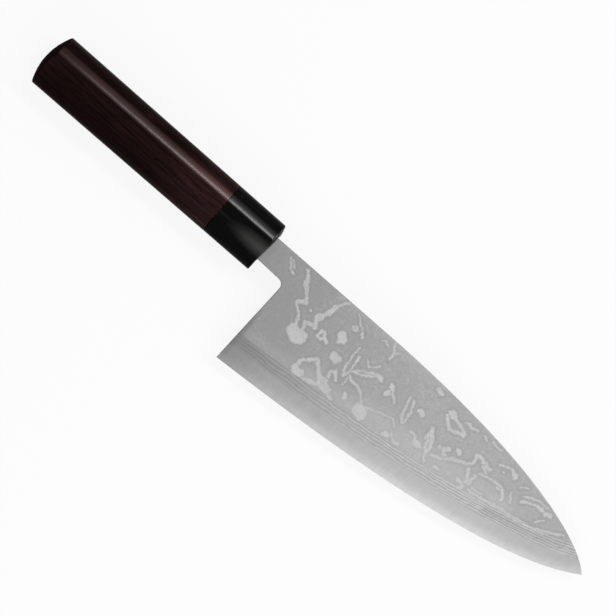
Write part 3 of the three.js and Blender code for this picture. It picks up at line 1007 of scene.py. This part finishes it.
def buffalo_horn():
    made, tree, shader = new_finish("buffalo_horn")
    point = point_in_mm(tree)
    growth = streaks(tree, point, (0.03, 0.5, 0.5), 4.0, 0.6)["Fac"]
    colour = blend(tree, ramp(tree, growth, 0.5, 0.75), HORN_BLACK, HORN_STREAK)
    # The grey patch in from the front below the ridge is a painted reflection.
    off_middle = vector(tree, "DIVIDE", vector(tree, "SUBTRACT", point, PAINTED_REFLECTION_MM), PAINTED_REFLECTION_REACH_MM)
    off = calc(tree, "MULTIPLY_ADD", growth, 0.5, measure(tree, "LENGTH", off_middle))
    colour = blend(tree, ramp(tree, off, 1.45, 0.2), colour, HORN_PAINTED_REFLECTION)
    feed(tree, shader["Base Color"], colour)
    lines = use_group(tree, polish_lines, point, (0.15, 2.5, 2.5))["Lines"]
    feed(tree, shader["Roughness"], ramp(tree, lines, 0.3, 0.8, 0.17, 0.25))
    feed(tree, shader["Normal"], relief(tree, lines, 0.04, 0.03))
    gloss = use_group(tree, rubbed_ridge, point)["Gloss"]
    feed(tree, shader["Coat Weight"], times(tree, gloss, HORN_GLOSS))
    feed(tree, shader["Coat Roughness"], 0.22)
    feed(tree, shader["IOR"], DULL_INDEX)
    return finished(made)


BUFFALO_HORN = buffalo_horn()

# %% [markdown]
# ## Ferrule and handle
# Both are planed to one chestnut section. The ridge is broken with a narrow round so that it feels soft,
# and it runs out into the rounded rim of the ferrule's front and of the butt: both are rounded in one go,
# so that they meet in a clean corner. The two rims of the joint are only just eased, which leaves the fine
# groove between wood and horn.
# %% Piece: ferrule
FRONT_ROUND_MM = 0.5
JOINT_RIM_MM = 0.1
MOUTH_RIM_MM = 0.06
SIDEWAYS = 0.2
ENDWAYS = 0.5
OUTER_PART = 0.85


def is_side(face):
    return abs(face.normal.x) < SIDEWAYS


def is_end(face, way):
    """Faces out of one end of the handle."""
    return face.normal.x * way > ENDWAYS


def is_outside(edge, node_name):
    """Lies on the outside of a solid and not in one of its holes."""
    low, high = (Vector(corner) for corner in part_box(node_name))
    middle = (low + high) / 2
    half = (high - low) / 2
    offsets = [corner.co - middle for corner in edge.verts]
    away = [math.hypot(offset.y / half.y, offset.z / half.z) for offset in offsets]
    return min(away) > OUTER_PART


def end_edges(bm, node_name, way, outside):
    """The edges round one end of a solid, or those round the hole in it."""
    found = edges_between(bm, is_side, lambda face: is_end(face, way))
    return [edge for edge in found if is_outside(edge, node_name) == outside]


bm = merged_copy("ferrule")
rounded = [finger_ridge(bm)] + end_edges(bm, "ferrule", 1, outside=True)
ease(bm, "ridge and front rim", rounded, FRONT_ROUND_MM)
ease(bm, "joint rim", end_edges(bm, "ferrule", -1, outside=True), JOINT_RIM_MM, segments=1)
ease(bm, "mouth", end_edges(bm, "ferrule", 1, outside=False), MOUTH_RIM_MM, segments=1)
finish_piece(bm, "horn_ferrule", "ferrule", BUFFALO_HORN)

# %% [markdown]
# ## Wood
# Rosewood is heavy and very dark, with red-brown streaks and open pores that show as short dark dashes
# along the grain. A tree grows in rings round its pith, so the grain is made in space: rings about an axis
# beside the handle, drawn out along it. The sides then show long streaks and the butt shows end grain, with
# no seam between. End grain drinks more oil, so it is darker and duller; its darkening on the butt is also
# painted shade. Towards the ferrule the wood is painted paler, as painted light, and a warm pale band above
# the ridge is a painted highlight, fainter towards the butt.
# %% Group: wood grain
PITH_MM = (0.0, 24.0, -16.0)
BEND_MM = 9.0

wood_grain, come_in, go_out = new_group(
    "wood_grain", [("Point", "Vector"), ("Ring width", "Float")],
    [("Rings", "Float"), ("Pores", "Float"), ("Fibres", "Float")])
tree = wood_grain
point = come_in["Point"]
bent = streaks(tree, point, (0.012, 0.05, 0.05))["Color"]
off_pith = vector(tree, "SUBTRACT", point, PITH_MM)
off_pith = vector(tree, "MULTIPLY_ADD", bent, (0, BEND_MM, BEND_MM), off_pith)
off_pith = vector(tree, "MULTIPLY", off_pith, (0, 1, 1))
rings = calc(tree, "DIVIDE", measure(tree, "LENGTH", off_pith), come_in["Ring width"])
feed(tree, go_out["Rings"], calc(tree, "FRACT", rings))
dashes = streaks(tree, point, (0.3, 4.0, 4.0), 1.0)["Fac"]
feed(tree, go_out["Pores"], ramp(tree, dashes, 0.66, 0.74))
feed(tree, go_out["Fibres"], streaks(tree, point, (0.06, 1.2, 1.2), 4.0, 0.65)["Fac"])
print("group:", tree.name)

# %% Finish: rosewood
WOOD_DARK = (0.006, 0.0029, 0.003, 1.0)
WOOD_MIDDLE = (0.0116, 0.0051, 0.0051, 1.0)
WOOD_RED = (0.024, 0.0096, 0.0092, 1.0)
WOOD_PORE = (0.002, 0.001, 0.001, 1.0)
WOOD_PAINTED_HIGHLIGHT = (0.07, 0.025, 0.021, 1.0)
WOOD_GLOSS = 0.66
WOOD_RING_MM = 3.2
END_ZONE_MM = 36.0
BUTT_MM, JOINT_MM = (corner[0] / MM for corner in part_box("handle_body"))


def dark_rosewood():
    made, tree, shader = new_finish("dark_rosewood")
    point = point_in_mm(tree)
    along = axis(tree, point, "X")
    grain = use_group(tree, wood_grain, point, WOOD_RING_MM)
    fibres, pores = grain["Fibres"], grain["Pores"]
    facing = axis(tree, add(tree, "TexCoord").outputs["Normal"], "X")
    end_grain = ramp(tree, calc(tree, "ABSOLUTE", facing), 0.3, 0.7)
    # The gloss mask also paints a warm highlight into the colour below, fainter towards the butt.
    gloss = use_group(tree, rubbed_ridge, point)["Gloss"]
    gloss = times(tree, gloss, ramp(tree, along, BUTT_MM, BUTT_MM + END_ZONE_MM, 0.5, 1.0))
    gloss = times(tree, gloss, calc(tree, "SUBTRACT", 1.0, end_grain))

    colour = blend(tree, ramp(tree, fibres, 0.3, 0.7), WOOD_DARK, WOOD_MIDDLE)
    streak = times(tree, ramp(tree, grain["Rings"], 0.2, 0.95), ramp(tree, fibres, 0.35, 0.75))
    colour = blend(tree, streak, colour, WOOD_RED)
    colour = blend(tree, times(tree, pores, 0.8), colour, WOOD_PORE)
    # A warm pale band over the ridge: painted highlight.
    colour = blend(tree, times(tree, gloss, 0.5), colour, WOOD_PAINTED_HIGHLIGHT)
    # Paler towards the ferrule: painted light. The darker end grain is partly painted shade.
    paler = ramp(tree, along, JOINT_MM - END_ZONE_MM, JOINT_MM, 1.0, 2.3)
    tone = times(tree, paler, ramp(tree, end_grain, 0.0, 1.0, 1.0, 0.6))
    feed(tree, shader["Base Color"], dim(tree, colour, tone))

    open_wood = ramp(tree, calc(tree, "MAXIMUM", pores, end_grain), 0.0, 1.0, 0.26, 0.7)
    feed(tree, shader["Roughness"], calc(tree, "MULTIPLY_ADD", fibres, 0.14, open_wood))
    height = calc(tree, "SUBTRACT", times(tree, fibres, 0.5), pores)
    feed(tree, shader["Normal"], relief(tree, height, 0.18, 0.08))
    feed(tree, shader["Coat Weight"], times(tree, gloss, WOOD_GLOSS))
    feed(tree, shader["Coat Roughness"], 0.21)
    feed(tree, shader["IOR"], DULL_INDEX)
    return finished(made)


DARK_ROSEWOOD = dark_rosewood()

# %% Piece: handle
BUTT_ROUND_MM = 0.5

bm = merged_copy("handle_body")
rounded = [finger_ridge(bm)] + end_edges(bm, "handle_body", -1, outside=True)
ease(bm, "ridge and butt rim", rounded, BUTT_ROUND_MM)
ease(bm, "joint rim", end_edges(bm, "handle_body", 1, outside=True), JOINT_RIM_MM, segments=1)
finish_piece(bm, "wooden_handle", "handle_body", DARK_ROSEWOOD)

# %% [markdown]
# ## Dowel and resin
# Inside, a dowel of pale magnolia joins horn and wood and grips the tang. It doesn't show, but it is a
# piece of its own, so it gets plain wood. The mouth of the ferrule is closed round the neck with dark
# resin, which is matt and a little uneven.
# %% Finish: magnolia and resin
MAGNOLIA_PALE = (0.66, 0.54, 0.34, 1.0)
MAGNOLIA_DARK = (0.5, 0.37, 0.2, 1.0)
MAGNOLIA_RING_MM = 1.8
RESIN_DARK = (0.006, 0.005, 0.004, 1.0)
RESIN_BROWN = (0.02, 0.014, 0.01, 1.0)


def pale_magnolia():
    made, tree, shader = new_finish("pale_magnolia")
    grain = use_group(tree, wood_grain, point_in_mm(tree), MAGNOLIA_RING_MM)
    tone = times(tree, ramp(tree, grain["Rings"], 0.3, 1.0), grain["Fibres"])
    feed(tree, shader["Base Color"], blend(tree, tone, MAGNOLIA_PALE, MAGNOLIA_DARK))
    feed(tree, shader["Roughness"], ramp(tree, grain["Fibres"], 0.2, 0.8, 0.6, 0.75))
    feed(tree, shader["Normal"], relief(tree, grain["Fibres"], 0.2, 0.08))
    return finished(made)


def dark_resin():
    made, tree, shader = new_finish("dark_resin")
    lumps = noise(tree, point_in_mm(tree), 0.8, 3.0)["Fac"]
    feed(tree, shader["Base Color"], blend(tree, lumps, RESIN_DARK, RESIN_BROWN))
    feed(tree, shader["Roughness"], ramp(tree, lumps, 0.3, 0.7, 0.45, 0.65))
    feed(tree, shader["Normal"], relief(tree, lumps, 0.3, 0.1))
    return finished(made)


PALE_MAGNOLIA = pale_magnolia()
DARK_RESIN = dark_resin()

# %% Pieces: dowel and resin
SMALL_RIM_MM = 0.2

bm = merged_copy("tang_dowel")
ends = end_edges(bm, "tang_dowel", 1, outside=True) + end_edges(bm, "tang_dowel", -1, outside=True)
ease(bm, "dowel's ends", ends, SMALL_RIM_MM, segments=1)
finish_piece(bm, "magnolia_dowel", "tang_dowel", PALE_MAGNOLIA)

bm = merged_copy("tang_seal")
ease(bm, "resin's rim", end_edges(bm, "tang_seal", 1, outside=True), SMALL_RIM_MM, segments=1)
finish_piece(bm, "resin_seal", "tang_seal", DARK_RESIN)
